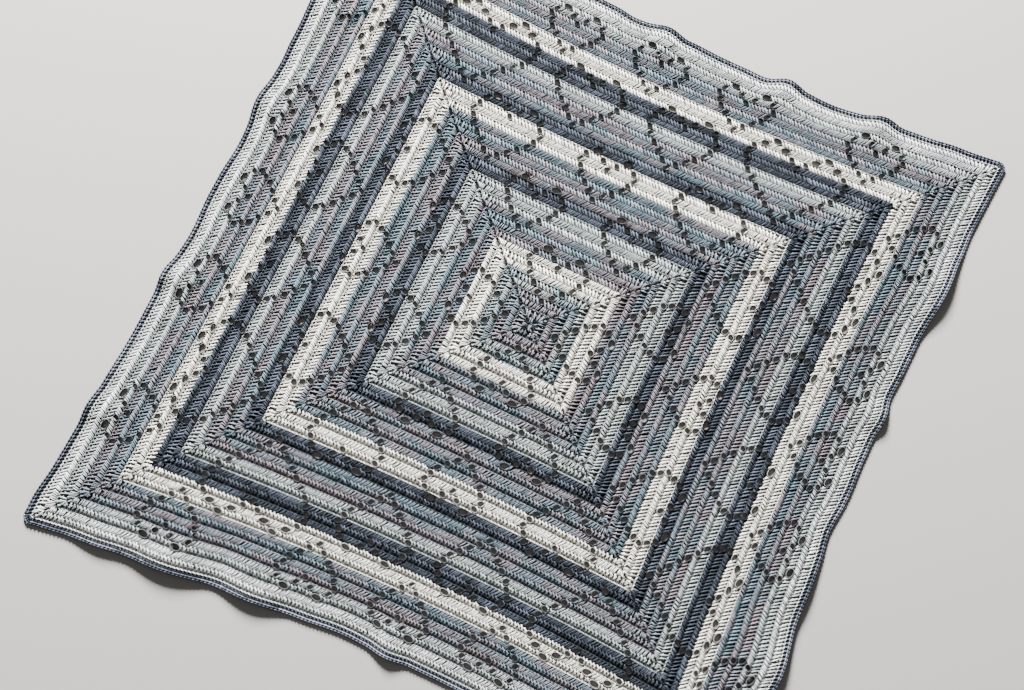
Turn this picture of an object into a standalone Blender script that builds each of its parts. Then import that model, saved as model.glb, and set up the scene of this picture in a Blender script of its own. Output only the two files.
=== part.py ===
"""Square crochet baby blanket, laid out flat: one openwork sheet and its edging.

Metres, +Z up. The sheet is worked in rounds from its middle. A place on it is given as (u, v) on the even
square of the work, and place() says where that point lies on the uneven, laid-out blanket.
"""

import math

import bmesh
import bpy

MM = 0.001

# The work: double crochet rounds and the stitches in them
ROUNDS = 48
ROUND_HEIGHT = 10.0 * MM
STITCH_WIDTH = 5.0 * MM
BODY_HALF = ROUNDS * ROUND_HEIGHT

# The fabric: rounds lie in pairs, with a rib between pairs and a hollow inside each pair
RIB_THICKNESS = 3.0 * MM
HOLLOW_THICKNESS = 2.2 * MM

# The edging: one round of small stitches, next to the last round
EDGING_GAP = 0.4 * MM
EDGING_WIDTH = 7.6 * MM
EDGING_HEIGHT = 3.4 * MM
EDGING_SHOULDER = 2.0 * MM
CORNER_RADIUS = 11.0 * MM
EDGING_IN = BODY_HALF + EDGING_GAP
HALF = EDGING_IN + EDGING_WIDTH

# How far a round lies outwards of its even place: distance from the middle and drift, in mm
DRIFTS = ((0, 0.0), (90, 6.8), (180, 9.4), (270, 9.5), (360, 6.1), (430, 0.4), (480, -2.5), (488, 0.0))
# How the sheet lies. Each side bows inwards between its corners, and each corner is pulled aside.
BOW_POWER, PULL_POWER = 0.93, 0.55
# side: bow in mm
BOWS = {"top": 32.8, "bottom": 35.2, "left": 11.1, "right": 16.3}
# side: how far its middle slides along it, towards +x or +y, in mm
SLIDES = {"top": 1.9, "bottom": 16.9, "left": -2.2, "right": -1.3}
# corner signs (u, v): pull in mm (x, y)
CORNER_PULLS = {(-1, -1): (12.6, -24.1), (1, -1): (-15.5, 12.9), (1, 1): (2.6, -5.2), (-1, 1): (5.4, 13.8)}
# Ripples of the edges in mm: side, middle along the side, half length, push outwards, lift, reach inwards
RIPPLES = (
    ("top", -300, 70, 1.0, 5.0, 90),
    ("top", -180, 60, -3.0, 0.0, 80),
    ("top", -60, 32, -2.7, 0.0, 80),
    ("top", -10, 32, 3.2, 6.0, 90),
    ("top", 65, 40, -1.5, 0.0, 80),
    ("top", 110, 62, -3.0, 0.0, 80),
    ("top", 140, 32, -2.3, 0.0, 70),
    ("top", 170, 32, 4.5, 5.0, 70),
    ("top", 240, 62, -4.4, 0.0, 80),
    ("top", 310, 32, 4.7, 4.5, 80),
    ("top", 410, 32, 1.4, 0.0, 80),
    ("bottom", -385, 50, 1.7, 3.5, 90),
    ("bottom", -300, 80, 4.7, 6.0, 110),
    ("bottom", -185, 62, 2.8, 5.0, 90),
    ("bottom", -60, 62, -2.8, 0.0, 80),
    ("bottom", 5, 32, 2.1, 4.0, 80),
    ("bottom", 200, 70, 1.6, 6.5, 110),
    ("bottom", 330, 60, -2.0, 0.0, 80),
    ("left", -450, 40, 2.4, 0.0, 80),
    ("left", -325, 32, 1.5, 4.5, 90),
    ("left", -225, 80, -1.9, 0.0, 80),
    ("left", -135, 32, 1.7, 6.0, 90),
    ("left", -75, 62, -3.8, 0.0, 80),
    ("left", 60, 50, -2.9, 0.0, 80),
    ("left", 125, 40, 3.2, 5.0, 80),
    ("left", 185, 32, -1.4, 0.0, 80),
    ("left", 300, 70, 0.8, 5.0, 100),
    ("right", -270, 80, 8.0, 6.5, 110),
    ("right", -170, 80, 1.2, 4.5, 80),
    ("right", -80, 40, -3.1, 0.0, 80),
    ("right", -20, 40, 1.2, 0.0, 80),
    ("right", 85, 32, 2.2, 4.5, 80),
    ("right", 120, 32, -1.4, 0.0, 80),
    ("right", 280, 80, 3.9, 7.0, 120),
    ("right", 345, 32, 1.6, 0.0, 80),
)

# Eyelets of the hearts: one or two stitches left out
EYELET_WIDTH, EYELET_HEIGHT = 8.0 * MM, 7.0 * MM
WIDE_WIDTH, WIDE_HEIGHT = 12.5 * MM, 8.5 * MM
# Heart charts, a row for each round from the tip outwards. A number is an eyelet's distance in stitches from
# the heart's middle line, on both sides of it. At a half, two stitches are left out.
CHARTS = {
    "small": ((0,), (2,), (4,), (6,), (7,), (8, 0), (7, 2), (4.5,)),
    "medium": ((0,), (2,), (4,), (6,), (8,), (9,), (10,), (9, 0), (8, 2), (5.5,)),
    "large": ((0,), (2,), (4,), (6,), (8,), (10,), (12,), (13,), (14,), (14, 0), (13, 2), (10.5, 4.5), (7.5,)),
}
# Rows of each chart whose plain eyelets are cut here. Wide ones are always cut.
CUT_ROWS = {"small": {1: (0,), 6: (8,)}, "medium": {7: (10,)}, "large": {1: (0,)}}
# Hearts of one side: chart, round of the tip, middles in stitches from the middle of the side
HEARTS = (
    ("small", 4, (0,)),
    ("small", 12, (-14, 14)),
    ("small", 20, (0,)),
    ("medium", 19, (-30, 30)),
    ("medium", 29, (-14, 14)),
    ("large", 28, (-46, 46)),
    ("small", 39, (-64, -26, 0, 26, 64)),
)

# Facets: up to this distance from the middle (mm), a side has this many
TOP_FACETS = ((240, 1), (330, 2), (390, 4), (430, 12), (480, 30))
UNDERSIDE_RADII = (200, 320, 380, 410, 440, 460, 480)
CUTTER_LOW, CUTTER_HIGH = -4.0 * MM, 16.0 * MM


def hill(t):
    """A smooth hill: 1 at 0, down to 0 at 1 and past it."""
    return 0.5 + 0.5 * math.cos(math.pi * min(1.0, abs(t)))


def drift(radius):
    """How far a round is drawn outwards, as a share of its distance from the middle."""
    for (start, low), (end, high) in zip(DRIFTS, DRIFTS[1:]):
        if start * MM < radius <= end * MM + 1e-6:
            return (low + (high - low) * (radius / MM - start) / (end - start)) * MM / radius
    return 0.0


def spread(u, v):
    """The laid-out (x, y, lift) of a point of the even square, before the blanket is centred."""
    a, b = u / HALF, v / HALF
    far = max(abs(a), abs(b)) ** PULL_POWER
    stretch = 1 + drift(max(abs(u), abs(v)))
    x, y, lift = u * stretch, v * stretch, 0.0
    x -= math.copysign(abs(a) ** BOW_POWER, a) * (1 - b * b) * BOWS["right" if u > 0 else "left"] * MM
    y -= math.copysign(abs(b) ** BOW_POWER, b) * (1 - a * a) * BOWS["top" if v > 0 else "bottom"] * MM
    x += b * b * (1 - a * a) * SLIDES["top" if v > 0 else "bottom"] * MM
    y += a * a * (1 - b * b) * SLIDES["right" if u > 0 else "left"] * MM
    for (su, sv), (px, py) in CORNER_PULLS.items():
        weight = (1 + su * a) * (1 + sv * b) / 4 * far
        x += weight * px * MM
        y += weight * py * MM
    outward = {"top": (0, 1, u, v), "bottom": (0, -1, u, -v), "left": (-1, 0, v, -u), "right": (1, 0, v, u)}
    for side, middle, half_length, push, rise, reach in RIPPLES:
        nx, ny, along, out = outward[side]
        if HALF - out >= reach * MM:
            continue
        weight = hill((along / MM - middle) / half_length) * hill((HALF - out) / MM / reach)
        x += nx * push * weight * MM
        y += ny * push * weight * MM
        lift += rise * weight * MM
    return x, y, lift


def loop_points(radius, facets):
    """Points of a square loop, counterclockwise from its lower left corner."""
    points = []
    for side in range(4):
        for i in range(facets):
            points.append(turned(side, (2 * i / facets - 1) * radius, -radius))
    return points


def turned(side, along, out):
    """A point of the lower side, turned to a side: 0 bottom, 1 right, 2 top, 3 left."""
    return ((along, out), (-out, along), (-along, -out), (out, -along))[side]


def edging_points(radius, corner):
    """Points of a loop of the edging, whose corners are rounded to the given radius."""
    points = []
    cut = corner * (1 - math.sqrt(0.5))
    facets = TOP_FACETS[-1][1]
    for side in range(4):
        points.append(turned(side, -radius + cut, -radius + cut))
        points.append(turned(side, -radius + CORNER_RADIUS, -radius))
        for i in range(1, facets):
            points.append(turned(side, (2 * i / facets - 1) * BODY_HALF, -radius))
        points.append(turned(side, radius - CORNER_RADIUS, -radius))
    return points


def centre():
    """The middle of the laid-out blanket's bounding box."""
    rim = [spread(u, v) for u, v in edging_points(HALF, CORNER_RADIUS)]
    xs = [p[0] for p in rim]
    ys = [p[1] for p in rim]
    return (min(xs) + max(xs)) / 2, (min(ys) + max(ys)) / 2


MIDDLE = centre()


def place(u, v, height=0.0):
    """Where a point of the even square lies, at a height over the underside."""
    x, y, lift = spread(u, v)
    return x - MIDDLE[0], y - MIDDLE[1], lift + height


def thickness(index):
    """The fabric's thickness at the outer edge of a round."""
    return RIB_THICKNESS if index % 2 == 0 else HOLLOW_THICKNESS


def facets_at(radius):
    """How many facets a side has at this distance from the middle."""
    for limit, facets in TOP_FACETS:
        if radius <= limit * MM + 1e-9:
            return facets
    return TOP_FACETS[-1][1]


def band(bm, inner, outer, upwards):
    """Faces between two square loops, which may have different numbers of points."""
    n, m = len(inner) // 4, len(outer) // 4
    for side in range(4):
        p = [inner[(side * n + i) % (4 * n)] for i in range(n + 1)]
        q = [outer[(side * m + j) % (4 * m)] for j in range(m + 1)]
        i = j = 0
        while i < n or j < m:
            if j < m and (i == n or (j + 1) * n <= (i + 1) * m):
                face = [q[j], q[j + 1], p[i]]
                j += 1
            else:
                face = [q[j], p[i + 1], p[i]]
                i += 1
            bm.faces.new(face if upwards else face[::-1])


def surface(bm, radii, upwards, height_at):
    """A surface of square loops round a middle point. Returns its last loop."""
    middle = bm.verts.new(place(0.0, 0.0, height_at(0)))
    inner = None
    for index, radius in radii:
        points = loop_points(radius, facets_at(radius))
        outer = [bm.verts.new(place(u, v, height_at(index))) for u, v in points]
        if inner is None:
            for j, vert in enumerate(outer):
                face = [vert, outer[(j + 1) % len(outer)], middle]
                bm.faces.new(face if upwards else face[::-1])
        else:
            band(bm, inner, outer, upwards)
        inner = outer
    return inner


def new_object(name, bm, material=None):
    """An object in the scene made from a bmesh."""
    bmesh.ops.recalc_face_normals(bm, faces=bm.faces[:])
    mesh = bpy.data.meshes.new(name)
    bm.to_mesh(mesh)
    bm.free()
    obj = bpy.data.objects.new(name, mesh)
    bpy.context.scene.collection.objects.link(obj)
    if material:
        mesh.materials.append(material)
    return obj


def yarn(name, color):
    """A matt yarn material."""
    material = bpy.data.materials.new(name)
    material.use_nodes = True
    shader = material.node_tree.nodes["Principled BSDF"]
    shader.inputs["Base Color"].default_value = (*color, 1.0)
    shader.inputs["Roughness"].default_value = 0.9
    return material


def make_sheet():
    """The body of the blanket without its eyelets: ribbed on top, plain underneath."""
    bm = bmesh.new()
    top = surface(bm, [(i, i * ROUND_HEIGHT) for i in range(1, ROUNDS + 1)], True, thickness)
    under = surface(bm, [(0, r * MM) for r in UNDERSIDE_RADII], False, lambda index: 0.0)
    for j in range(len(top)):
        k = (j + 1) % len(top)
        bm.faces.new([under[j], under[k], top[k], top[j]])
    bmesh.ops.triangulate(bm, faces=bm.faces[:])
    return new_object("blanket_body", bm, yarn("body_yarn", (0.42, 0.47, 0.50)))


def heart_eyelets():
    """Every eyelet of one side: round, place along the side in stitches, whether wide, whether cut."""
    eyelets = []
    for chart, tip, middles in HEARTS:
        for row, offsets in enumerate(CHARTS[chart], start=1):
            for offset in offsets:
                wide = offset != int(offset)
                cut = wide or offset in CUT_ROWS[chart].get(row, ())
                for sign in (-1, 1) if offset else (1,):
                    for middle in middles:
                        eyelets.append((tip + row - 1, middle + sign * offset, wide, cut))
    return eyelets


def eyelet_outline(wide):
    """The outline of an eyelet round its middle: four points, or six for a wide one."""
    if wide:
        w, e, h = WIDE_WIDTH / 2, WIDE_WIDTH * 0.34, WIDE_HEIGHT / 2
        return ((-w, 0), (-e, -h), (e, -h), (w, 0), (e, h), (-e, h))
    w, h = EYELET_WIDTH / 2, EYELET_HEIGHT / 2
    return ((-w, -h), (w, -h), (w, h), (-w, h))


def make_cutter():
    """One object with a prism for each eyelet that is cut, on all four sides."""
    bm = bmesh.new()
    for side in range(4):
        for index, along, wide, cut in heart_eyelets():
            if not cut:
                continue
            out = -(index - 0.5) * ROUND_HEIGHT
            low, high = [], []
            for du, dv in eyelet_outline(wide):
                x, y, _ = place(*turned(side, along * STITCH_WIDTH + du, out + dv))
                low.append(bm.verts.new((x, y, CUTTER_LOW)))
                high.append(bm.verts.new((x, y, CUTTER_HIGH)))
            bm.faces.new(low[::-1])
            bm.faces.new(high)
            for i in range(len(low)):
                k = (i + 1) % len(low)
                bm.faces.new([low[i], low[k], high[k], high[i]])
    cutter = new_object("eyelet_cutter", bm)
    cutter.hide_render = True
    cutter.display_type = "WIRE"
    return cutter


def make_edging():
    """The edging, a closed ring of five-sided section round the body."""
    section = (
        (EDGING_IN, 0.0, 0.0),
        (HALF, CORNER_RADIUS, 0.0),
        (HALF, CORNER_RADIUS, EDGING_SHOULDER),
        (HALF - EDGING_WIDTH * 0.4, CORNER_RADIUS * 0.6, EDGING_HEIGHT),
        (EDGING_IN, 0.0, RIB_THICKNESS),
    )
    bm = bmesh.new()
    loops = []
    for radius, corner, height in section:
        loops.append([bm.verts.new(place(u, v, height)) for u, v in edging_points(radius, corner)])
    for a, b in zip(loops, loops[1:] + loops[:1]):
        for j in range(len(a)):
            k = (j + 1) % len(a)
            bm.faces.new([a[j], a[k], b[k], b[j]])
    bmesh.ops.triangulate(bm, faces=bm.faces[:])
    return new_object("edging", bm, yarn("edging_yarn", (0.05, 0.07, 0.14)))


def main():
    for old in list(bpy.data.objects):
        bpy.data.objects.remove(old)
    body = make_sheet()
    cut = body.modifiers.new("eyelets", "BOOLEAN")
    cut.operation = "DIFFERENCE"
    cut.solver = "EXACT"
    cut.object = make_cutter()
    make_edging()


main()
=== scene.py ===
"""Crochet baby blanket: every stitch, ridge and eyelet of the laid-out blanket, over its solids."""

import math

import bmesh
import bpy
import numpy as np
from mathutils import Matrix, Vector
from mathutils.kdtree import KDTree


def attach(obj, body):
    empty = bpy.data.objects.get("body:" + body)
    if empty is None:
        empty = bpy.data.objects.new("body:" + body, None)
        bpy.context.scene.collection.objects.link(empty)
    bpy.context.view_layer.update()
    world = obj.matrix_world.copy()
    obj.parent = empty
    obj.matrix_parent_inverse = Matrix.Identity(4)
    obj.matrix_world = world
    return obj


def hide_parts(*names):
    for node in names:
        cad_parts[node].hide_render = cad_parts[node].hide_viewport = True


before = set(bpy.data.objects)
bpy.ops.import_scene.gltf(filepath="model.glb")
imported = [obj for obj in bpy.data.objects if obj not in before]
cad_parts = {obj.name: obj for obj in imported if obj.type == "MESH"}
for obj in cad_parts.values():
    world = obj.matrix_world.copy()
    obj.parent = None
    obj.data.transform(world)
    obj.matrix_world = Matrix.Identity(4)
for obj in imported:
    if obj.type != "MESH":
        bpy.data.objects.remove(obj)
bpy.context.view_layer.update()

bl_info = {
    "name": "Crochet baby blanket",
    "version": (1, 0, 0),
    "blender": (4, 5, 0),
    "location": "View3D > Sidebar > Blanket",
    "description": "Makes the stitches, ridges, edging and stage of a crochet baby blanket",
    "category": "Object",
}

MM = 0.001

# The work: double crochet rounds and the stitches in them
ROUNDS = 48
ROUND_HEIGHT = 10.0 * MM
STITCH_WIDTH = 5.0 * MM
BODY_HALF = ROUNDS * ROUND_HEIGHT
HALF = BODY_HALF + 8.0 * MM
CORNER_RADIUS = 11.0 * MM
# Facets of each side of the solids' rim
RIM_FACETS = 30

# How the blanket lies, as in its solids. How far a round lies outwards of its even place: distance from the
# middle and drift, in mm
DRIFTS = ((0, 0.0), (90, 6.8), (180, 9.4), (270, 9.5), (360, 6.1), (430, 0.4), (480, -2.5), (488, 0.0))
# How fast the bows of the sides and the pulls at the corners grow outwards
BOW_POWER, PULL_POWER = 0.93, 0.55
# side: bow in mm
BOWS = {"top": 32.8, "bottom": 35.2, "left": 11.1, "right": 16.3}
# side: how far its middle slides along it, towards +x or +y, in mm
SLIDES = {"top": 1.9, "bottom": 16.9, "left": -2.2, "right": -1.3}
# corner signs (u, v): pull in mm (x, y)
CORNER_PULLS = {(-1, -1): (12.6, -24.1), (1, -1): (-15.5, 12.9), (1, 1): (2.6, -5.2), (-1, 1): (5.4, 13.8)}
# Ripples of the edges in mm: side, middle along the side, half length, push outwards, lift, reach inwards
RIPPLES = (
    ("top", -300, 70, 1.0, 5.0, 90),
    ("top", -180, 60, -3.0, 0.0, 80),
    ("top", -60, 32, -2.7, 0.0, 80),
    ("top", -10, 32, 3.2, 6.0, 90),
    ("top", 65, 40, -1.5, 0.0, 80),
    ("top", 110, 62, -3.0, 0.0, 80),
    ("top", 140, 32, -2.3, 0.0, 70),
    ("top", 170, 32, 4.5, 5.0, 70),
    ("top", 240, 62, -4.4, 0.0, 80),
    ("top", 310, 32, 4.7, 4.5, 80),
    ("top", 410, 32, 1.4, 0.0, 80),
    ("bottom", -385, 50, 1.7, 3.5, 90),
    ("bottom", -300, 80, 4.7, 6.0, 110),
    ("bottom", -185, 62, 2.8, 5.0, 90),
    ("bottom", -60, 62, -2.8, 0.0, 80),
    ("bottom", 5, 32, 2.1, 4.0, 80),
    ("bottom", 200, 70, 1.6, 6.5, 110),
    ("bottom", 330, 60, -2.0, 0.0, 80),
    ("left", -450, 40, 2.4, 0.0, 80),
    ("left", -325, 32, 1.5, 4.5, 90),
    ("left", -225, 80, -1.9, 0.0, 80),
    ("left", -135, 32, 1.7, 6.0, 90),
    ("left", -75, 62, -3.8, 0.0, 80),
    ("left", 60, 50, -2.9, 0.0, 80),
    ("left", 125, 40, 3.2, 5.0, 80),
    ("left", 185, 32, -1.4, 0.0, 80),
    ("left", 300, 70, 0.8, 5.0, 100),
    ("right", -270, 80, 8.0, 6.5, 110),
    ("right", -170, 80, 1.2, 4.5, 80),
    ("right", -80, 40, -3.1, 0.0, 80),
    ("right", -20, 40, 1.2, 0.0, 80),
    ("right", 85, 32, 2.2, 4.5, 80),
    ("right", 120, 32, -1.4, 0.0, 80),
    ("right", 280, 80, 3.9, 7.0, 120),
    ("right", 345, 32, 1.6, 0.0, 80),
)

# Heart charts, a row for each round from the tip outwards. A number is an eyelet's distance in stitches from
# the heart's middle line, on both sides of it. At a half, two stitches are left out.
CHARTS = {
    "small": ((0,), (2,), (4,), (6,), (7,), (8, 0), (7, 2), (4.5,)),
    "medium": ((0,), (2,), (4,), (6,), (8,), (9,), (10,), (9, 0), (8, 2), (5.5,)),
    "large": (
        *((0,), (2,), (4,), (6,), (8,), (10,), (12,), (13,), (14,)),
        *((14, 0), (13, 2), (10.5, 4.5), (7.5,)),
    ),
}
# Hearts of one side: chart, round of the tip, middles in stitches from the middle of the side
HEARTS = (
    ("small", 4, (0,)),
    ("small", 12, (-14, 14)),
    ("small", 20, (0,)),
    ("medium", 19, (-30, 30)),
    ("medium", 29, (-14, 14)),
    ("large", 28, (-46, 46)),
    ("small", 39, (-64, -26, 0, 26, 64)),
)

# Yarn changes: last round of each yarn
YARN_ROUNDS = (
    (2, "teal"),
    (4, "mauve"),
    (6, "pale_teal"),
    (9, "white"),
    (11, "mauve"),
    (13, "teal"),
    (16, "pale"),
    (18, "navy"),
    (20, "mauve"),
    (23, "teal"),
    (26, "white"),
    (28, "navy"),
    (30, "teal"),
    (32, "mauve"),
    (34, "pale"),
    (37, "navy"),
    (40, "white"),
    (42, "teal"),
    (44, "mauve"),
    (46, "pale"),
    (48, "frost"),
)
# Yarns across the edging: distance out from the body in mm, and yarn
EDGING_YARNS = ((0.4, "navy"), (3.6, "slate"), (5.6, "navy"))
# The second colour that a yarn turns to here and there
TURNS = {
    "teal": "mauve",
    "pale_teal": "teal",
    "mauve": "teal",
    "pale": "pale_teal",
    "frost": "pale",
    "navy": "slate",
    "slate": "fleck",
}
# Which yarns share a piece of stitches
PIECES = {
    "white_stitches": ("white", "frost"),
    "pale_stitches": ("pale", "pale_teal"),
    "teal_stitches": ("teal",),
    "mauve_stitches": ("mauve",),
    "navy_stitches": ("navy",),
}

# Eyelets: how far the strands round a left-out stitch make way, and out to which distance
MAKE_WAY, WAY_REACH = 1.6 * MM, 7.5 * MM
# A stitch of an even round is one broad strand: how far it reaches down over the round before, and how far
# it stops short
EVEN_DOWN, EVEN_SHORT = 1.6 * MM, 1.3 * MM
# A stitch of an odd round is thin strands: how far up they start and how far they stop short, and where they
# stand along the round from the stitch's middle, at base and top in mm
ODD_UP, ODD_SHORT = 0.2 * MM, 0.6 * MM
ODD_STRANDS = ((-0.7, -1.3), (0.7, 1.25))
# The wrap across a stitch of an even round: how far up its ends lie, as shares of the stitch, and half its
# length
WRAP_START, WRAP_END, WRAP_REACH = 0.34, 0.64, 2.2 * MM
# How far stitches stray from their places, and how much their widths vary
STITCH_STRAY, STITCH_VARIES = 0.5 * MM, 0.11
# Over how many stitches the lean fades towards a corner
CORNER_FADE = 6
# The last stitches beside a corner, the last one first: distances of base and top from the corner in mm
CORNER_STROKES = ((11.2, 8.6), (14.4, 13.6))
# One more strand still nearer the corner: the same distances, and how far up the round it starts
EXTRA_STROKE, EXTRA_START = (8.3, 5.2), 4.5 * MM
# Chains between pairs of rounds: overlap of their links in stitches, slant and how much their widths vary
CHAIN_OVERLAP, CHAIN_SLANT, CHAIN_VARIES = 0.08, 0.8 * MM, 0.1
# Edging, as depths in from its outer edge: its stitches from base to top, and its chains
EDGE_BASE, EDGE_TOP = 7.8 * MM, 4.0 * MM
EDGE_CHAIN_DEPTHS = (3.4 * MM, 1.5 * MM)
# How many of them stand along each side and round each corner
EDGE_STITCHES, EDGE_CORNER_STITCHES = 190, 4
# How far they stray, how much their widths vary, and the overlap of the chains' links in stitches
EDGE_STRAY, EDGE_VARIES, EDGE_OVERLAP = 0.2 * MM, 0.06, 0.1

# The web: how far its rim stays in from the edging's outer edge, along the sides and at the corners, and how
# much its outermost cells are stretched
WEB_INSET, WEB_CORNER_INSET, WEB_STRETCH = 1.5 * MM, 4.5 * MM, 1.1
# Its gaps as multiples of a cell: along the round where one and where two stitches are left out, and
# outwards. Their lean as a share of the stitches' own
GAP_ALONG, WIDE_GAP_ALONG, GAP_OUT, GAP_LEAN = 1.3, 1.15, 1.26, 0.5
# Its corner gaps as multiples of a cell: along the diagonal and across it
CORNER_GAP_ALONG, CORNER_GAP_ACROSS = 0.9, 0.6

# Strand shapes, a row for each station from base to top: place (0 to 1), and half width, half height and
# height in mm
POST = ((0.0, 1.15, 0.75, 2.15), (0.3, 1.5, 1.05, 2.1), (1.0, 1.05, 0.8, 1.9))
THIN_POST = ((0.0, 0.85, 0.75, 1.85), (1.0, 0.95, 1.0, 2.1))
WRAP = ((0.0, 0.8, 0.75, 1.9), (1.0, 0.85, 0.8, 2.2))
CHAIN = ((0.0, 0.4, 0.5, 1.9), (0.6, 0.95, 0.85, 2.35), (1.0, 0.4, 0.5, 2.0))
EDGE_POST = ((0.0, 0.8, 0.8, 1.3), (0.5, 1.3, 1.2, 1.8), (1.0, 1.0, 0.8, 2.0))
EDGE_CHAIN = ((0.0, 0.5, 0.5, 1.7), (0.55, 1.25, 1.2, 2.2), (1.0, 0.5, 0.5, 1.8))
# Sides of a strand: four, so that its end faces have four corners too
STRAND_SIDES = 4
# The loop round an eyelet: radius of its middle line, half width and half height of the yarn, and its height
LOOP_RADIUS, LOOP_WIDTH, LOOP_RISE, LOOP_HEIGHT = 4.6 * MM, 1.0 * MM, 1.4 * MM, 2.2 * MM
# Its steps round the eyelet, and the sides of its yarn
LOOP_STEPS, LOOP_SIDES = 10, 3
# The lean of a loop as a share of the stitches' own, and how much loops vary
LOOP_LEAN, LOOP_VARIES = 0.38, 0.05
# Scales of loops, along the round and outwards
LOOP_SCALES = {"eyelet": (1.0, 0.96), "wide": (1.46, 1.04), "corner": (0.86, 0.62)}

# The yarn's look. Rounds over the whole of the colour ramps
RAMP_ROUNDS = 50
# How fast the colours drift along a round, how far they jump to the next round, and the scales of the tones
# from stitch to stitch and of the fuzz
DRIFT_SCALE, ROUND_JUMP, STITCH_SCALE, FUZZ_SCALE = 17.0, 3.7, 610.0, 520.0
# How far the yarn turns to its second colour: everywhere, by the drift, by the stitch, and at most
TURN_BASE, TURN_DRIFT, TURN_STITCH, TURN_MOST = 0.3, 4.0, 1.4, 0.85
# Tone: everywhere, by the drift, by the stitch, at least, and at most
TONE_BASE, TONE_DRIFT, TONE_STITCH, TONE_LEAST, TONE_MOST = 0.12, 0.4, 1.35, 0.4, 1.05
# Tone of the fuzz with its range, and painted shade in the grooves between the plies with its range
FUZZ_TONE, FUZZ_RANGE, PLY_GROOVE_SHADE_BASE, PLY_GROOVE_SHADE_RANGE = 0.7, 0.6, 0.95, 0.13
# Painted highlight on a strand's ridge, how fast it falls to painted shade towards the flanks, at least, and
# at most
RIDGE_PAINTED_LIGHT, FLANK_PAINTED_SHADE_FALL, FLANK_PAINTED_SHADE_LEAST, RIDGE_PAINTED_LIGHT_MOST = 1.3, 4.2, 0.15, 1.1
# Bumps of the fuzz and of the plies, and their strength and depth
FUZZ_BUMP, PLY_BUMP, BUMP_STRENGTH, BUMP_DEPTH = 0.6, 0.3, 0.7, 0.5 * MM
YARN_ROUGHNESS, YARN_SHINE = 0.92, 0.25
# Twist of the yarn: length of a turn in mm, and plies
TWIST, PLIES = 2.4, 2
# How light each look is beside the stitches. The web and the loops are darkened as painted shade: the web
# for the shade in the gaps between the strands, the loops for the shade on the eyelets' walls
LOOK_TONES_AND_SHADES = {"web": 0.18, "chain": 0.95, "loop": 0.42}

# Seeds of the random draws
SEEDS = {"stitches": 11, "chains": 7, "loops": 3, "edging": 5}

# The stage, in metres: half the floor's width, how far it lies under the blanket, and the lamp's place and
# size
FLOOR_HALF, FLOOR_DROP, FLOOR_ROUGHNESS = 6.0, 0.2 * MM, 0.8
KEY_PLACE, KEY_SIZE = (-2.2, 3.5, 1.6), 1.0
SKY_COLOR = (1.0, 0.98, 0.96, 1.0)

# The camera, fitted to the photograph: place in m, three turns in radians, and lens and sensor width in mm
CAMERA_PLACE = (0.0856, -0.2401, 1.2947)
CAMERA_TURNS = (0.4324, 0.1736, 0.0161)
CAMERA_LENS, CAMERA_SENSOR = 35.16, 36.0


def color_prop(name, description, default):
    """A colour that a user may change."""
    return bpy.props.FloatVectorProperty(
        name=name, description=description, default=default, subtype="COLOR", size=3, min=0, max=1
    )


class BlanketYarns(bpy.types.PropertyGroup):
    """Colours of the yarns."""

    teal: color_prop("Teal", "Colour of the teal yarn", (0.13, 0.185, 0.22))
    pale_teal: color_prop("Pale teal", "Colour of the pale teal yarn", (0.37, 0.41, 0.40))
    mauve: color_prop("Mauve", "Colour of the mauve-grey yarn", (0.235, 0.205, 0.225))
    pale: color_prop("Pale", "Colour of the pale blue-grey yarn", (0.43, 0.475, 0.475))
    white: color_prop("White", "Colour of the cream white yarn", (0.96, 0.935, 0.84))
    frost: color_prop("Frost", "Colour of the outermost white yarn, a little bluer", (0.86, 0.90, 0.87))
    navy: color_prop("Navy", "Colour of the navy yarn", (0.030, 0.037, 0.050))
    fleck: color_prop("Fleck", "Colour of the light flecks of the edging", (0.30, 0.30, 0.35))
    slate: color_prop("Slate", "Colour that the navy yarn turns to", (0.085, 0.10, 0.135))


class BlanketShape(bpy.types.PropertyGroup):
    """Sizes of the stitches."""

    slant: bpy.props.FloatProperty(
        name="Slant",
        description="How far a stitch of an even round leans, per unit of height",
        default=0.74,
        min=0,
        max=1,
    )
    back_slant: bpy.props.FloatProperty(
        name="Back slant",
        description="How far one of an odd round leans the other way",
        default=0.6,
        min=0,
        max=1,
    )
    fullness: bpy.props.FloatProperty(
        name="Fullness",
        description="Width of the strands beside their usual width",
        default=1.0,
        min=0.5,
        max=1.3,
    )
    web_thickness: bpy.props.FloatProperty(
        name="Web thickness",
        description="Thickness of the flat web between the strands",
        default=0.8 * MM,
        min=0.2 * MM,
        max=2 * MM,
        subtype="DISTANCE",
        unit="LENGTH",
    )
    web_height: bpy.props.FloatProperty(
        name="Web height",
        description="Height of the web's underside over the blanket's underside",
        default=1.0 * MM,
        min=0,
        max=2 * MM,
        subtype="DISTANCE",
        unit="LENGTH",
    )


class BlanketStage(bpy.types.PropertyGroup):
    """Floor and light."""

    floor_color: color_prop("Floor", "Colour of the floor", (0.42, 0.405, 0.385))
    key_power: bpy.props.FloatProperty(
        name="Key light",
        description="Power of the large lamp beyond the far side",
        default=1950,
        min=0,
        unit="POWER",
    )
    sky_strength: bpy.props.FloatProperty(
        name="Sky", description="Strength of the even light from all round", default=0.16, min=0
    )


def hill(t):
    """A smooth hill: 1 at 0, down to 0 at 1 and past it."""
    return 0.5 + 0.5 * np.cos(np.pi * np.minimum(1.0, np.abs(t)))


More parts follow.
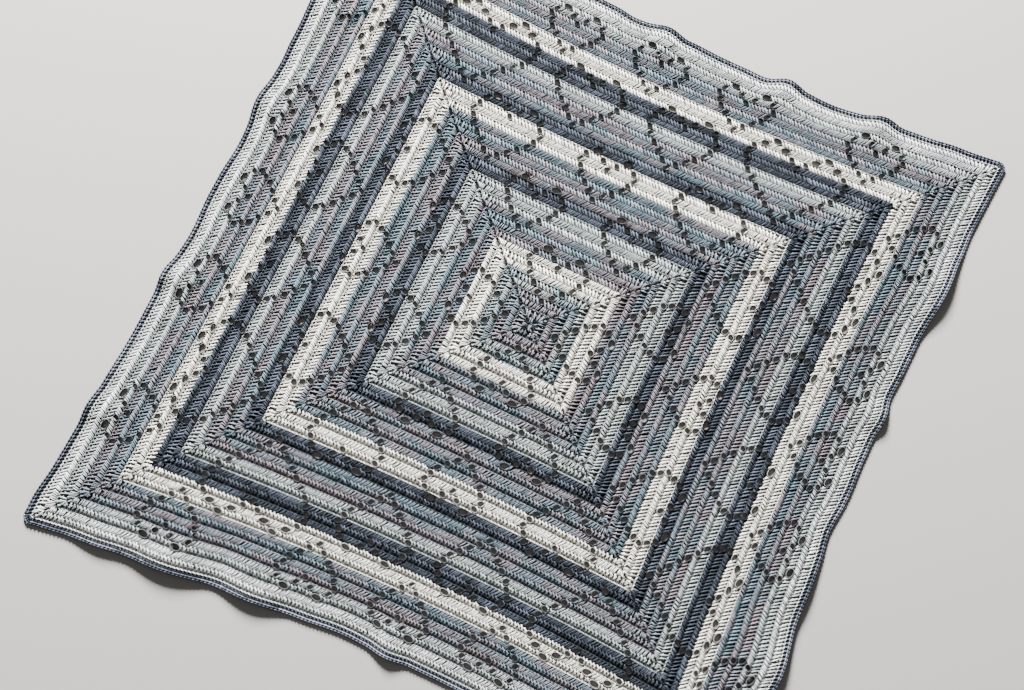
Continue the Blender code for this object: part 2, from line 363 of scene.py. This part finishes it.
def spread(uv):
    """The laid-out places (x, y, lift) of points of the even square, before the blanket is centred."""
    u, v = uv[..., 0], uv[..., 1]
    a, b = u / HALF, v / HALF
    far = np.maximum(np.abs(a), np.abs(b)) ** PULL_POWER
    radius = np.maximum(np.abs(u), np.abs(v)) / MM + 1e-6
    stretch = 1 + np.interp(radius, *np.array(DRIFTS).T) / radius
    pull_x = np.sign(a) * np.abs(a) ** BOW_POWER * (1 - b * b)
    pull_y = np.sign(b) * np.abs(b) ** BOW_POWER * (1 - a * a)
    x = u * stretch - pull_x * np.where(u > 0, BOWS["right"], BOWS["left"]) * MM
    y = v * stretch - pull_y * np.where(v > 0, BOWS["top"], BOWS["bottom"]) * MM
    x = x + b * b * (1 - a * a) * np.where(v > 0, SLIDES["top"], SLIDES["bottom"]) * MM
    y = y + a * a * (1 - b * b) * np.where(u > 0, SLIDES["right"], SLIDES["left"]) * MM
    for (su, sv), (px, py) in CORNER_PULLS.items():
        weight = (1 + su * a) * (1 + sv * b) / 4 * far
        x = x + weight * px * MM
        y = y + weight * py * MM
    lift = np.zeros_like(x)
    outward = {"top": (0, 1, u, v), "bottom": (0, -1, u, -v), "left": (-1, 0, v, -u), "right": (1, 0, v, u)}
    for side, middle, half_length, push, rise, reach in RIPPLES:
        nx, ny, along, out = outward[side]
        weight = hill((along / MM - middle) / half_length) * hill((HALF - out) / MM / reach)
        x = x + nx * push * weight * MM
        y = y + ny * push * weight * MM
        lift = lift + rise * weight * MM
    return np.stack([x, y, lift], axis=-1)


def turned(side, along, out):
    """A point of the lower side, turned to a side: 0 bottom, 1 right, 2 top, 3 left."""
    return ((along, out), (-out, along), (-along, -out), (out, -along))[side]


def rim_points():
    """The solids' outer rim on the even square: what centres the blanket."""
    cut = CORNER_RADIUS * (1 - math.sqrt(0.5))
    points = []
    for side in range(4):
        points.append(turned(side, -HALF + cut, -HALF + cut))
        points.append(turned(side, -HALF + CORNER_RADIUS, -HALF))
        facets = [(2 * i / RIM_FACETS - 1) * BODY_HALF for i in range(1, RIM_FACETS)]
        points += [turned(side, along, -HALF) for along in facets]
        points.append(turned(side, HALF - CORNER_RADIUS, -HALF))
    return np.array(points)


RIM = spread(rim_points())
MIDDLE = np.append((RIM.min(axis=0)[:2] + RIM.max(axis=0)[:2]) / 2, 0.0)


def place(uv, height):
    """Where points of the even square lie, at heights over the underside."""
    points = spread(uv) - MIDDLE
    points[..., 2] += height
    return points


def eyelets():
    """Every eyelet of one side: round and place along the side in stitches. Wide ones are at a half."""
    found = []
    for chart, tip, middles in HEARTS:
        for row, offsets in enumerate(CHARTS[chart]):
            for offset in offsets:
                for sign in (-1, 1) if offset else (1,):
                    found += [(tip + row, middle + sign * offset) for middle in middles]
    return found


def left_out():
    """Stitches left out on each side, as (round, stitch)."""
    gone = set()
    for index, along in eyelets():
        gone.update({(index, math.floor(along)), (index, math.ceil(along))})
    return gone


GONE = left_out()


def make_way(uv):
    """Points of the even square, moved away from the left-out stitches near them."""
    spots = [turned(side, j * STITCH_WIDTH, -(i - 0.5) * ROUND_HEIGHT) for side in range(4) for i, j in GONE]
    tree = KDTree(len(spots))
    for number, spot in enumerate(spots):
        tree.insert((*spot, 0), number)
    tree.balance()
    points = uv.reshape(-1, 2)
    found = [tree.find((x, y, 0)) for x, y in points.tolist()]
    centres = np.array([spot[:2] for spot, _, _ in found])
    distances = np.array([distance for _, _, distance in found])
    away = (points - centres) / np.maximum(distances, MM)[:, None]
    return (points + away * (hill(distances / WAY_REACH) * MAKE_WAY)[:, None]).reshape(uv.shape)


class Socket:
    """A node's output that takes part in sums. Each sum adds a Math node."""

    def __init__(self, tree, output):
        self.tree, self.output = tree, output

    def math(self, operation, *values):
        return self.tree.add("ShaderNodeMath", {"operation": operation}, dict(enumerate((self, *values))))

    def __add__(self, other):
        return self.math("ADD", other)

    def __sub__(self, other):
        return self.math("SUBTRACT", other)

    def __rsub__(self, other):
        return self.tree.value(other).math("SUBTRACT", self)

    def __mul__(self, other):
        return self.math("MULTIPLY", other)

    __radd__ = __add__
    __rmul__ = __mul__


class Tree:
    """A material's nodes."""

    def __init__(self, name):
        self.material = bpy.data.materials.new(name)
        self.material.use_nodes = True
        self.nodes = self.material.node_tree.nodes
        self.links = self.material.node_tree.links
        self.shader = self.nodes["Principled BSDF"]

    def add(self, kind, settings=None, values=None, output=0):
        """Adds a node with its settings, then fills its sockets. Returns one output."""
        node = self.nodes.new(kind)
        for key, setting in (settings or {}).items():
            setattr(node, key, setting)
        for key, value in (values or {}).items():
            self.fill(node.inputs[key], value)
        return Socket(self, node.outputs[output])

    def fill(self, socket, value):
        """Links a socket to an output, or sets its value."""
        if isinstance(value, Socket):
            self.links.new(value.output, socket)
        else:
            socket.default_value = value

    def value(self, number):
        """A plain number as an output."""
        socket = self.add("ShaderNodeValue")
        socket.output.default_value = number
        return socket

    def ramp(self, factor, stops, interpolation="CONSTANT"):
        """Colours along a factor. stops: (position, colour)."""
        result = self.add("ShaderNodeValToRGB", values={0: factor})
        ramp = result.output.node.color_ramp
        ramp.interpolation = interpolation
        while len(ramp.elements) < len(stops):
            ramp.elements.new(1.0)
        for element, (position, _) in zip(ramp.elements, stops):
            element.position = position
        for element, (_, color) in zip(ramp.elements, stops):
            element.color = (*color, 1.0)
        return result

    def mix(self, factor, a, b, blend="MIX"):
        """A colour between two colours."""
        settings = {"data_type": "RGBA", "blend_type": blend}
        return self.add("ShaderNodeMix", settings, {0: factor, 6: a, 7: b}, output=2)

    def shade(self, grey):
        """A grey colour from a number."""
        return self.add("ShaderNodeCombineColor", values={0: grey, 1: grey, 2: grey})


def yarn_material(name, tone_and_painted_shade=1.0, strands=True):
    """Yarn whose colour follows the round, read from the piece's map of the work."""
    yarns = bpy.context.scene.blanket_yarns
    tree = Tree(name)
    work = tree.add("ShaderNodeUVMap", {"uv_map": "work"})
    split = tree.add("ShaderNodeSeparateXYZ", values={0: work})
    x = Socket(tree, split.output.node.outputs[0]) - 0.5
    y = Socket(tree, split.output.node.outputs[1]) - 0.5
    ramp_length = RAMP_ROUNDS * ROUND_HEIGHT
    span = 2 * HALF / ramp_length
    radius = x.math("ABSOLUTE").math("MAXIMUM", y.math("ABSOLUTE")) * span

    starts = [0] + [last for last, _ in YARN_ROUNDS]
    stops = [(start / RAMP_ROUNDS, yarn) for start, (_, yarn) in zip(starts, YARN_ROUNDS)]
    stops += [((BODY_HALF + out * MM) / ramp_length, yarn) for out, yarn in EDGING_YARNS]
    colors = []
    for turns in ({}, TURNS):
        shades = [(at, tuple(getattr(yarns, turns.get(yarn, yarn)))) for at, yarn in stops]
        colors.append(tree.ramp(radius, shades))

    # The yarn turns to its second colour along stretches of each round, and changes from stitch to stitch
    layer = (radius * RAMP_ROUNDS).math("FLOOR")
    axes = {0: x * DRIFT_SCALE, 1: y * DRIFT_SCALE, 2: layer * ROUND_JUMP}
    stretch = tree.add("ShaderNodeCombineXYZ", values=axes)
    drift = tree.add("ShaderNodeTexNoise", values={"Vector": stretch, "Scale": 1.0, "Detail": 1.0})
    by_stitch = {"Vector": work, "Scale": STITCH_SCALE, "Detail": 0.0}
    steps = tree.add("ShaderNodeTexNoise", {"noise_dimensions": "2D"}, by_stitch)
    turn = (drift - 0.5) * TURN_DRIFT + (steps - 0.5) * TURN_STITCH + TURN_BASE
    color = tree.mix(turn.math("MAXIMUM", 0.0).math("MINIMUM", TURN_MOST), *colors)
    tone = TONE_BASE + drift * TONE_DRIFT + steps * TONE_STITCH
    # The given lightness darkens the web and the loops as painted shade; for the chains it is a plain tone
    tone = tone.math("MAXIMUM", TONE_LEAST) * tone_and_painted_shade

    spot = tree.add("ShaderNodeTexCoord", output="Object")
    fuzz = tree.add("ShaderNodeTexNoise", values={"Vector": spot, "Scale": FUZZ_SCALE, "Detail": 2.0})
    tone = tone * (FUZZ_TONE + fuzz * FUZZ_RANGE)
    height = fuzz * FUZZ_BUMP
    if strands:
        yarn = tree.add("ShaderNodeUVMap", {"uv_map": "yarn"})
        parts = tree.add("ShaderNodeSeparateXYZ", values={0: yarn})
        along = Socket(tree, parts.output.node.outputs[0])
        around = Socket(tree, parts.output.node.outputs[1])
        ply = (along * (2 * math.pi / TWIST) + around * (2 * math.pi * PLIES)).math("SINE")
        # Painted light and shade: a strand's ridge, its top, is painted lighter and its flanks and underside
        # darker
        flank = (around - 0.25).math("ABSOLUTE")
        painted_ridge_light = (RIDGE_PAINTED_LIGHT - flank * FLANK_PAINTED_SHADE_FALL).math("MAXIMUM", FLANK_PAINTED_SHADE_LEAST).math("MINIMUM", RIDGE_PAINTED_LIGHT_MOST)
        # Painted shade in the grooves between the plies, then the painted light and shade of ridge and
        # flanks
        tone = tone * (PLY_GROOVE_SHADE_BASE + ply * PLY_GROOVE_SHADE_RANGE) * painted_ridge_light
        height = height + ply * PLY_BUMP
    color = tree.mix(1.0, color, tree.shade(tone.math("MINIMUM", TONE_MOST)), "MULTIPLY")
    tree.fill(tree.shader.inputs["Base Color"], color)
    bumps = {"Strength": BUMP_STRENGTH, "Distance": BUMP_DEPTH, "Height": height}
    tree.fill(tree.shader.inputs["Normal"], tree.add("ShaderNodeBump", values=bumps))
    tree.shader.inputs["Roughness"].default_value = YARN_ROUGHNESS
    tree.shader.inputs["Specular IOR Level"].default_value = YARN_SHINE
    return tree.material


def strand_template(stations):
    """A closed strand from its stations: points (across, along, height) in mm, quads, and uvs."""
    bm = bmesh.new()
    bmesh.ops.create_cone(bm, cap_ends=True, segments=STRAND_SIDES, radius1=1, radius2=1, depth=1)
    bmesh.ops.translate(bm, verts=bm.verts, vec=(0, 0, 0.5))
    for at, *_ in stations[1:-1]:
        bmesh.ops.bisect_plane(
            bm, geom=bm.verts[:] + bm.edges[:] + bm.faces[:], plane_co=(0, 0, at), plane_no=(0, 0, 1)
        )
    bm.verts.index_update()
    points, turns = [], []
    for vert in bm.verts:
        at, half_width, half_height, height = min(stations, key=lambda row: abs(row[0] - vert.co.z))
        turn = math.atan2(vert.co.y, vert.co.x)
        points.append((math.cos(turn) * half_width, at, math.sin(turn) * half_height + height))
        turns.append(turn / (2 * math.pi) % 1.0)
    quads, uvs = [], []
    for face in bm.faces:
        # The strand's own axes are (across, along, height), which mirrors the cone
        quad = [vert.index for vert in face.verts][::-1]
        around = [turns[i] for i in quad]
        if max(around) - min(around) > 0.5:
            around = [a + 1 if a < 0.5 else a for a in around]
        quads.append(quad)
        uvs += [(points[i][1], a) for i, a in zip(quad, around)]
    bm.free()
    return np.array(points), np.array(quads), np.array(uvs)


def loop_template():
    """A closed ring of yarn: points (along, outwards, height) in metres, quads, and uvs."""
    bm = bmesh.new()
    bmesh.ops.create_circle(bm, segments=LOOP_SIDES, radius=1, matrix=Matrix.Rotation(math.pi / 2, 4, "X"))
    bmesh.ops.scale(bm, verts=bm.verts, vec=(LOOP_WIDTH, 1, LOOP_RISE))
    bmesh.ops.translate(bm, verts=bm.verts, vec=(LOOP_RADIUS, 0, LOOP_HEIGHT))
    section = [vert.co.z for vert in bm.verts]
    bmesh.ops.spin(
        bm,
        geom=bm.verts[:] + bm.edges[:],
        axis=(0, 0, 1),
        cent=(0, 0, 0),
        angle=2 * math.pi,
        steps=LOOP_STEPS,
        use_merge=True,
    )
    bmesh.ops.recalc_face_normals(bm, faces=bm.faces)
    bm.verts.index_update()
    points = np.array([vert.co[:] for vert in bm.verts])
    quads = np.array([[vert.index for vert in face.verts] for face in bm.faces])
    tops = (points[:, 2] - min(section)) / (max(section) - min(section))
    turns = np.arctan2(points[:, 1], points[:, 0])
    # Round the yarn, its ridge is at 0.25 and its underside at 0.75
    uvs = np.stack([turns * LOOP_RADIUS / MM, 0.75 - tops * 0.5], axis=1)[quads].reshape(-1, 2)
    bm.free()
    return points, quads, uvs


def strand_chunk(stations, starts, ends, widths):
    """Strands between places on the even square: points, quads of one strand, work map and yarn map."""
    points, quads, uvs = strand_template(stations)
    run = ends - starts
    length = np.linalg.norm(run, axis=1, keepdims=True)
    across = np.stack([run[:, 1], -run[:, 0]], axis=1) / length
    full = bpy.context.scene.blanket_shape.fullness
    uv = (
        starts[:, None, :]
        + run[:, None, :] * points[None, :, 1:2]
        + across[:, None, :] * points[None, :, 0:1] * widths[:, None, None] * full * MM
    )
    spots = place(make_way(uv), points[None, :, 2] * MM)
    lengths = (length / MM)[:, None, :] * uvs[None, :, 0:1]
    yarn_map = np.concatenate([lengths, np.broadcast_to(uvs[None, :, 1:2], lengths.shape)], axis=2)
    return spots, quads, (starts + ends) / 2, yarn_map


def loop_chunk(centres, alongs, scales, leans):
    """Rings of yarn round places on the even square, as a chunk."""
    points, quads, uvs = loop_template()
    outs = np.stack([alongs[:, 1], -alongs[:, 0]], axis=1)
    out = points[None, :, 1:2] * scales[:, None, 1:2]
    along = points[None, :, 0:1] * scales[:, None, 0:1] + out * leans[:, None, None]
    uv = centres[:, None, :] + alongs[:, None, :] * along + outs[:, None, :] * out
    spots = place(uv, points[None, :, 2])
    return spots, quads, centres, np.broadcast_to(uvs, (len(centres), *uvs.shape))


def join_chunks(name, chunks, material):
    """One piece of many strands or rings. chunks: (points, quads of one, middles, yarn map)."""
    all_points, all_quads, work_map, yarn_map, count = [], [], [], [], 0
    for spots, quads, middles, yarn in chunks:
        offsets = count + np.arange(len(spots)) * spots.shape[1]
        all_points.append(spots.reshape(-1, 3))
        all_quads.append((quads[None, :, :] + offsets[:, None, None]).reshape(-1, 4))
        count += len(spots) * spots.shape[1]
        work_map.append(np.repeat(middles / (2 * HALF) + 0.5, yarn.shape[1], axis=0))
        yarn_map.append(yarn.reshape(-1, 2))
    mesh = bpy.data.meshes.new(name)
    mesh.from_pydata(np.concatenate(all_points).tolist(), [], np.concatenate(all_quads).tolist())
    for layer, data in (("work", work_map), ("yarn", yarn_map)):
        uv_layer = mesh.uv_layers.new(name=layer)
        uv_layer.data.foreach_set("uv", np.concatenate(data).astype(np.float32).ravel())
    mesh.shade_smooth()
    mesh.materials.append(material)
    return finish_piece(bpy.data.objects.new(name, mesh))


def finish_piece(obj):
    """Links a piece, and fixes it to the blanket's one body."""
    bpy.context.scene.collection.objects.link(obj)
    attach(obj, "root")
    return obj


def yarn_of(index):
    """The yarn of a round."""
    return next(yarn for last, yarn in YARN_ROUNDS if index <= last)


def beside_corner(index, j, distances):
    """Places along a round from their distances to its corner in mm, on the side that stitch j is on."""
    return tuple(math.copysign(index * ROUND_HEIGHT - distance * MM, j) for distance in distances)


def posts(index, shape, random):
    """Starts, ends and widths of one round's stitches."""
    starts, ends, widths = [], [], []
    even = index % 2 == 0
    lean = shape.slant if even else -shape.back_slant
    strands = ((0, 0),) if even else ODD_STRANDS
    # A side of a round runs from stitch -last to last
    last = 2 * index - 2
    middle = (index - 0.5) * ROUND_HEIGHT
    outer = index * ROUND_HEIGHT - (EVEN_SHORT if even else ODD_SHORT)
    for side in range(4):
        for j in range(-last, last + 1):
            if (index, j) in GONE:
                continue
            down = EVEN_DOWN if even and (index - 1, j) not in GONE else -ODD_UP
            inner = (index - 1) * ROUND_HEIGHT - down
            # Towards a corner the stitches stand straighter, and the last ones spring from the corner space
            from_end = last - abs(j)
            straight = lean * min(1, from_end / CORNER_FADE)
            stitch = j * STITCH_WIDTH
            alongs = [(stitch + straight * (inner - middle), stitch + straight * (outer - middle))]
            rises = [(inner, outer)]
            if from_end < len(CORNER_STROKES):
                alongs = [beside_corner(index, j, CORNER_STROKES[from_end])]
            if from_end == 0:
                alongs.append(beside_corner(index, j, EXTRA_STROKE))
                rises.append((inner + down + EXTRA_START, outer))
            for (low, high), (bottom, top) in zip(alongs, rises):
                for base_shift, top_shift in strands:
                    stray = random.normal(0, STITCH_STRAY, 2)
                    starts.append(turned(side, low + base_shift * MM + stray[0], -bottom))
                    ends.append(turned(side, high + top_shift * MM + stray[1], -top))
                    widths.append(1 + random.normal(0, STITCH_VARIES))
    return starts, ends, widths


def chain_run(index, random):
    """Starts, ends and widths of the chain along a round's outer edge."""
    starts, ends, widths = [], [], []
    out = index * ROUND_HEIGHT
    for side in range(4):
        for j in range(-2 * index, 2 * index):
            start = max((j - CHAIN_OVERLAP) * STITCH_WIDTH, -out)
            end = min((j + 1 + CHAIN_OVERLAP) * STITCH_WIDTH, out)
            starts.append(turned(side, start, -out + CHAIN_SLANT))
            ends.append(turned(side, end, -out - CHAIN_SLANT))
            widths.append(1 + random.normal(0, CHAIN_VARIES))
    return starts, ends, widths


def wraps(run):
    """Short strands across the stitches of a run, which close the gaps between them half-way up."""
    starts, ends, widths = (np.array(part) for part in run)
    up = ends - starts
    aside = np.stack([-up[:, 1], up[:, 0]], axis=1) / np.linalg.norm(up, axis=1, keepdims=True)
    return starts + up * WRAP_START + aside * WRAP_REACH, starts + up * WRAP_END - aside * WRAP_REACH, widths


def gather(runs, stations):
    """A chunk of strands from several runs."""
    starts = np.array([p for run in runs for p in run[0]])
    ends = np.array([p for run in runs for p in run[1]])
    widths = np.array([w for run in runs for w in run[2]])
    return strand_chunk(stations, starts, ends, widths)


class BLANKET_OT_web(bpy.types.Operator):
    """Make the flat web that joins the strands, open at each eyelet and corner space. Its dark colour is
    painted shade for the gaps between the strands.
    """

    bl_idname = "blanket.web"
    bl_label = "Web"

    def execute(self, context):
        shape = context.scene.blanket_shape
        cells = 2 * (2 * ROUNDS) + 1
        bm = bmesh.new()
        bmesh.ops.create_grid(bm, x_segments=cells, y_segments=cells, size=cells * STITCH_WIDTH / 2)
        gaps = {}
        for side in range(4):
            for index, along in eyelets():
                for stitch in {math.floor(along), math.ceil(along)}:
                    gaps[turned(side, stitch, -(2 * index - 1))] = (side, along, index)
            for index in range(1, ROUNDS + 1):
                gaps[turned(side, 1 - 2 * index, 1 - 2 * index)] = (side, None, index)
        moved = {}
        open_faces = []
        for face in bm.faces:
            middle = face.calc_center_median()
            cell = (round(middle.x / STITCH_WIDTH), round(middle.y / STITCH_WIDTH))
            if cell in gaps:
                open_faces.append(face)
                for vert in face.verts:
                    moved[vert] = self.gap_corner(vert.co, *gaps[cell], shape)
        for vert, (x, y) in moved.items():
            vert.co.x, vert.co.y = x, y
        bmesh.ops.delete(bm, geom=open_faces, context="FACES")

        layer = bm.loops.layers.uv.new("work")
        for face in bm.faces:
            for loop in face.loops:
                loop[layer].uv = (loop.vert.co.x / (2 * HALF) + 0.5, loop.vert.co.y / (2 * HALF) + 0.5)
        for vert in bm.verts:
            at_corner = min(abs(vert.co.x), abs(vert.co.y)) >= BODY_HALF
            limit = HALF - (WEB_CORNER_INSET if at_corner else WEB_INSET)
            for axis in range(2):
                reach = vert.co[axis] * (1 if abs(vert.co[axis]) < BODY_HALF else WEB_STRETCH)
                vert.co[axis] = max(-limit, min(limit, reach))
        spots = place(make_way(np.array([vert.co.xy for vert in bm.verts])), shape.web_height)
        for vert, spot in zip(bm.verts, spots):
            vert.co = spot
        bmesh.ops.recalc_face_normals(bm, faces=bm.faces)
        bmesh.ops.solidify(bm, geom=bm.faces[:], thickness=shape.web_thickness)
        bmesh.ops.recalc_face_normals(bm, faces=bm.faces)
        mesh = bpy.data.meshes.new("blanket_web")
        bm.to_mesh(mesh)
        bm.free()
        # Painted shade: the web is coloured dark, for the shade in the gaps between the strands
        mesh.materials.append(yarn_material("web_yarn", LOOK_TONES_AND_SHADES["web"], strands=False))
        web = finish_piece(bpy.data.objects.new("blanket_web", mesh))
        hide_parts("blanket_body")
        return {"FINISHED"}

    @staticmethod
    def gap_corner(co, side, along, index, shape):
        """Where a corner of an opened cell goes, so that the gap has its real size and lean."""
        out = (index - 0.5) * ROUND_HEIGHT
        if along is None:
            middle = Vector(turned(side, -out, -out))
            away = co.xy - middle
            diagonal = middle.normalized()
            forward = away.dot(diagonal)
            across = away - diagonal * forward
            return middle + diagonal * forward * CORNER_GAP_ALONG + across * CORNER_GAP_ACROSS
        middle = Vector(turned(side, along * STITCH_WIDTH, -out))
        forward = Vector(turned(side, 0, -1))
        sideways = Vector(turned(side, 1, 0))
        away = co.xy - middle
        a, b = away.dot(sideways), away.dot(forward) * GAP_OUT
        lean = (shape.slant if index % 2 == 0 else -shape.back_slant) * GAP_LEAN
        widen = WIDE_GAP_ALONG if along % 1 else GAP_ALONG
        return middle + sideways * (a * widen + lean * b) + forward * b


class BLANKET_OT_stitches(bpy.types.Operator):
    """Make the double crochet stitches of all rounds, a piece for each kind of yarn."""

    bl_idname = "blanket.stitches"
    bl_label = "Stitches"

    def execute(self, context):
        shape = context.scene.blanket_shape
        material = yarn_material("stitch_yarn")
        for number, (name, yarns) in enumerate(PIECES.items()):
            random = np.random.RandomState(SEEDS["stitches"] + number)
            rounds = [index for index in range(1, ROUNDS + 1) if yarn_of(index) in yarns]
            chunks = []
            for stations, odd in ((POST, 0), (THIN_POST, 1)):
                runs = [posts(index, shape, random) for index in rounds if index % 2 == odd]
                chunks.append(gather(runs, stations))
                if odd == 0:
                    chunks.append(gather([wraps(run) for run in runs], WRAP))
            join_chunks(name, chunks, material)
        return {"FINISHED"}


class BLANKET_OT_chains(bpy.types.Operator):
    """Make the raised chains between pairs of rounds."""

    bl_idname = "blanket.chains"
    bl_label = "Chains"

    def execute(self, context):
        random = np.random.RandomState(SEEDS["chains"])
        runs = [chain_run(index, random) for index in range(2, ROUNDS + 1, 2)]
        material = yarn_material("chain_yarn", LOOK_TONES_AND_SHADES["chain"])
        chains = join_chunks("raised_chains", [gather(runs, CHAIN)], material)
        return {"FINISHED"}


class BLANKET_OT_loops(bpy.types.Operator):
    """Make the loops of yarn round the eyelets and the corner spaces."""

    bl_idname = "blanket.loops"
    bl_label = "Loops"

    def execute(self, context):
        shape = context.scene.blanket_shape
        rows = []
        for side in range(4):
            for index, along in eyelets():
                kind = "wide" if along % 1 else "eyelet"
                lean = (shape.slant if index % 2 == 0 else -shape.back_slant) * LOOP_LEAN
                centre = turned(side, along * STITCH_WIDTH, -(index - 0.5) * ROUND_HEIGHT)
                rows.append((*centre, *turned(side, 1, 0), *LOOP_SCALES[kind], lean))
            for index in range(1, ROUNDS + 1):
                centre = -(index - 0.5) * ROUND_HEIGHT
                diagonal = Vector(turned(side, -1, -1)).normalized()
                rows.append((*turned(side, centre, centre), *diagonal, *LOOP_SCALES["corner"], 0))
        rows = np.array(rows)
        random = np.random.RandomState(SEEDS["loops"])
        rows[:, 4:6] *= 1 + random.normal(0, LOOP_VARIES, (len(rows), 2))
        chunk = loop_chunk(rows[:, 0:2], rows[:, 2:4], rows[:, 4:6], rows[:, 6])
        # Painted shade: the loops are darkened, for the shade on the eyelets' walls
        loops = join_chunks("eyelet_loops", [chunk], yarn_material("loop_yarn", LOOK_TONES_AND_SHADES["loop"]))
        return {"FINISHED"}


def rim_at(depth):
    """Where the edging's stitches stand, at a depth in from its outer edge."""
    points = []
    straight = HALF - CORNER_RADIUS
    for side in range(4):
        for i in range(EDGE_STITCHES):
            points.append(turned(side, (2 * i / EDGE_STITCHES - 1) * straight, -HALF + depth))
        for i in range(EDGE_CORNER_STITCHES):
            turn = math.pi / 2 * i / EDGE_CORNER_STITCHES
            radius = CORNER_RADIUS - depth
            along, out = math.sin(turn) * radius, math.cos(turn) * radius
            points.append(turned(side, straight + along, -straight - out))
    return np.array(points)


class BLANKET_OT_edging(bpy.types.Operator):
    """Make the edging: a round of small stitches and its chains."""

    bl_idname = "blanket.edging"
    bl_label = "Edging"

    def execute(self, context):
        random = np.random.RandomState(SEEDS["edging"])
        inner, outer = rim_at(EDGE_BASE), rim_at(EDGE_TOP)
        inner = inner + random.normal(0, EDGE_STRAY, inner.shape)
        middles = (outer + np.roll(outer, -1, axis=0)) / 2
        chunks = [strand_chunk(EDGE_POST, inner, middles, 1 + random.normal(0, EDGE_VARIES, len(inner)))]
        for depth in EDGE_CHAIN_DEPTHS:
            line = rim_at(depth)
            ends = np.roll(line, -1, axis=0)
            overlap = (ends - line) * EDGE_OVERLAP
            chunks.append(strand_chunk(EDGE_CHAIN, line - overlap, ends + overlap, np.ones(len(line))))
        edging = join_chunks("crochet_edging", chunks, yarn_material("edging_yarn_look"))
        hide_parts("edging")
        return {"FINISHED"}


class BLANKET_OT_declare(bpy.types.Operator):
    bl_idname = "blanket.declare"
    bl_label = "Declare the sheet"

    def execute(self, context):
        return {"FINISHED"}


class BLANKET_OT_stage(bpy.types.Operator):
    """Make the floor, the lights and the camera."""

    bl_idname = "blanket.stage"
    bl_label = "Stage"

    def execute(self, context):
        settings = context.scene.blanket_stage
        bm = bmesh.new()
        bmesh.ops.create_grid(bm, x_segments=1, y_segments=1, size=FLOOR_HALF)
        bmesh.ops.translate(bm, verts=bm.verts, vec=(0, 0, -FLOOR_DROP))
        mesh = bpy.data.meshes.new("floor")
        bm.to_mesh(mesh)
        bm.free()
        tree = Tree("floor_paint")
        tree.shader.inputs["Base Color"].default_value = (*settings.floor_color, 1)
        tree.shader.inputs["Roughness"].default_value = FLOOR_ROUGHNESS
        mesh.materials.append(tree.material)
        floor = bpy.data.objects.new("floor", mesh)
        context.scene.collection.objects.link(floor)

        lamp = bpy.data.lights.new("key", "AREA")
        lamp.size = KEY_SIZE
        lamp.energy = settings.key_power
        key = bpy.data.objects.new("key", lamp)
        key.location = KEY_PLACE
        key.rotation_euler = (Vector((0, 0, 0)) - key.location).to_track_quat("-Z", "Y").to_euler()
        context.scene.collection.objects.link(key)

        world = bpy.data.worlds.new("sky")
        world.use_nodes = True
        background = world.node_tree.nodes["Background"]
        background.inputs["Color"].default_value = SKY_COLOR
        background.inputs["Strength"].default_value = settings.sky_strength
        context.scene.world = world

        camera = bpy.data.cameras.new("camera")
        camera.lens = CAMERA_LENS
        camera.sensor_width = CAMERA_SENSOR
        eye = bpy.data.objects.new("camera", camera)
        a, b, g = CAMERA_TURNS
        turn = Matrix.Rotation(a, 3, "Z") @ Matrix.Rotation(b, 3, "X") @ Matrix.Rotation(g, 3, "Z")
        eye.rotation_euler = turn.to_euler()
        eye.location = Vector(CAMERA_PLACE) - Vector(MIDDLE)
        context.scene.collection.objects.link(eye)
        context.scene.camera = eye
        return {"FINISHED"}


class BLANKET_PT_panel(bpy.types.Panel):
    """Lists the blanket's settings and makers."""

    bl_idname = "BLANKET_PT_panel"
    bl_label = "Crochet blanket"
    bl_space_type = "VIEW_3D"
    bl_region_type = "UI"
    bl_category = "Blanket"

    def draw(self, context):
        layout = self.layout
        for group in (context.scene.blanket_yarns, context.scene.blanket_shape, context.scene.blanket_stage):
            box = layout.box()
            for name in group.__annotations__:
                box.prop(group, name)
        for operator in OPERATORS:
            layout.operator(operator.bl_idname)


OPERATORS = (
    BLANKET_OT_stage,
    BLANKET_OT_web,
    BLANKET_OT_stitches,
    BLANKET_OT_chains,
    BLANKET_OT_loops,
    BLANKET_OT_edging,
    BLANKET_OT_declare,
)
GROUPS = {"blanket_yarns": BlanketYarns, "blanket_shape": BlanketShape, "blanket_stage": BlanketStage}
CLASSES = (*GROUPS.values(), *OPERATORS, BLANKET_PT_panel)


def register():
    for cls in CLASSES:
        bpy.utils.register_class(cls)
    for name, group in GROUPS.items():
        setattr(bpy.types.Scene, name, bpy.props.PointerProperty(type=group))


def unregister():
    for name in GROUPS:
        delattr(bpy.types.Scene, name)
    for cls in reversed(CLASSES):
        bpy.utils.unregister_class(cls)


def main():
    register()
    bpy.ops.blanket.stage()
    bpy.ops.blanket.web()
    bpy.ops.blanket.stitches()
    bpy.ops.blanket.chains()
    bpy.ops.blanket.loops()
    bpy.ops.blanket.edging()
    bpy.ops.blanket.declare()


if __name__ == "__main__":
    main()
